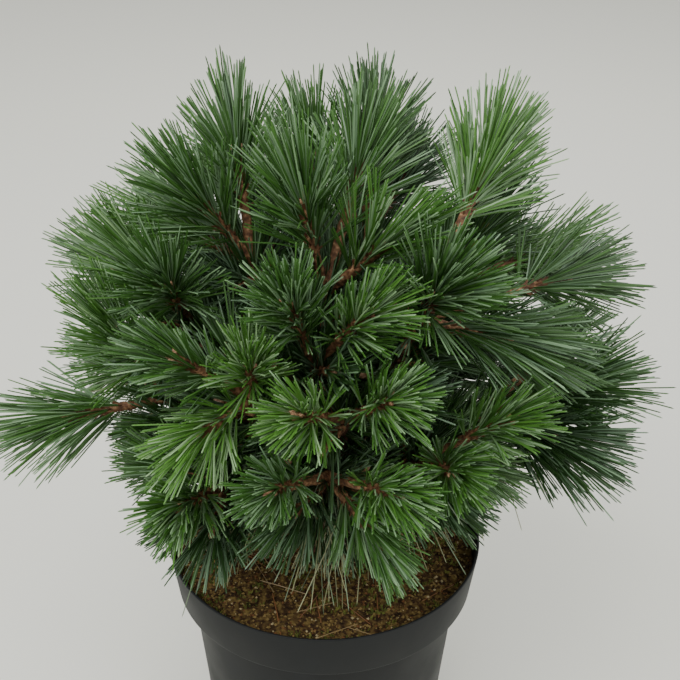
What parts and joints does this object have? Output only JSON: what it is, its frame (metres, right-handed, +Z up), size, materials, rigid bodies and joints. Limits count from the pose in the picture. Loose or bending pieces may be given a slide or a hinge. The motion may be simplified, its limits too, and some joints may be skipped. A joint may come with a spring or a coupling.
{
  "type": "potted dwarf white pine",
  "caption": "Dwarf white pine, a low dome of long needles on short boughs, growing in a round black nursery pot with a banded rim.",
  "frame": {"origin": "centre of the pot's flat underside, on the pot's axis", "axes": "+Z up along the pot's axis, -Y towards the side that the picture shows, +X to the right as seen from there"},
  "size_m": [0.4488, 0.4319, 0.5531],
  "materials": {
    "pine_needles": "satin green needles with a paler bluish inner side",
    "pine_bark": "rough scaly reddish-brown bark",
    "pot_plastic": "smooth moulded charcoal plastic",
    "potting_soil": "crumbly moist potting mix with a little moss"
  },
  "bodies": {
    "root": {"bough_low_back_left": "pine_bark", "bough_low_back_right": "pine_bark", "bough_low_front": "pine_bark", "bough_low_left_front": "pine_bark", "bough_low_right": "pine_bark", "bough_low_right_front": "pine_bark", "bough_middle_back": "pine_bark", "bough_middle_back_left": "pine_bark", "bough_middle_back_right": "pine_bark", "bough_middle_front": "pine_bark", "bough_middle_left": "pine_bark", "bough_middle_left_front": "pine_bark", "bough_middle_right": "pine_bark", "bough_top_back": "pine_bark", "bough_top_front": "pine_bark", "bough_top_left": "pine_bark", "bough_top_right": "pine_bark", "bough_upper_back": "pine_bark", "bough_upper_back_left": "pine_bark", "bough_upper_front": "pine_bark", "bough_upper_left": "pine_bark", "bough_upper_right": "pine_bark", "bough_upper_right_back": "pine_bark", "mass_low_back_left": "pine_needles", "mass_low_back_right": "pine_needles", "mass_low_front": "pine_needles", "mass_low_left_front": "pine_needles", "mass_low_right": "pine_needles", "mass_low_right_front": "pine_needles", "mass_middle_back": "pine_needles", "mass_middle_back_left": "pine_needles", "mass_middle_back_right": "pine_needles", "mass_middle_front": "pine_needles", "mass_middle_left": "pine_needles", "mass_middle_left_front": "pine_needles", "mass_middle_right": "pine_needles", "mass_top_back": "pine_needles", "mass_top_front": "pine_needles", "mass_top_left": "pine_needles", "mass_top_right": "pine_needles", "mass_upper_back": "pine_needles", "mass_upper_back_left": "pine_needles", "mass_upper_front": "pine_needles", "mass_upper_left": "pine_needles", "mass_upper_right": "pine_needles", "mass_upper_right_back": "pine_needles", "pot": "pot_plastic", "soil": "potting_soil", "trunk": "pine_bark"}
  },
  "joints": []
}
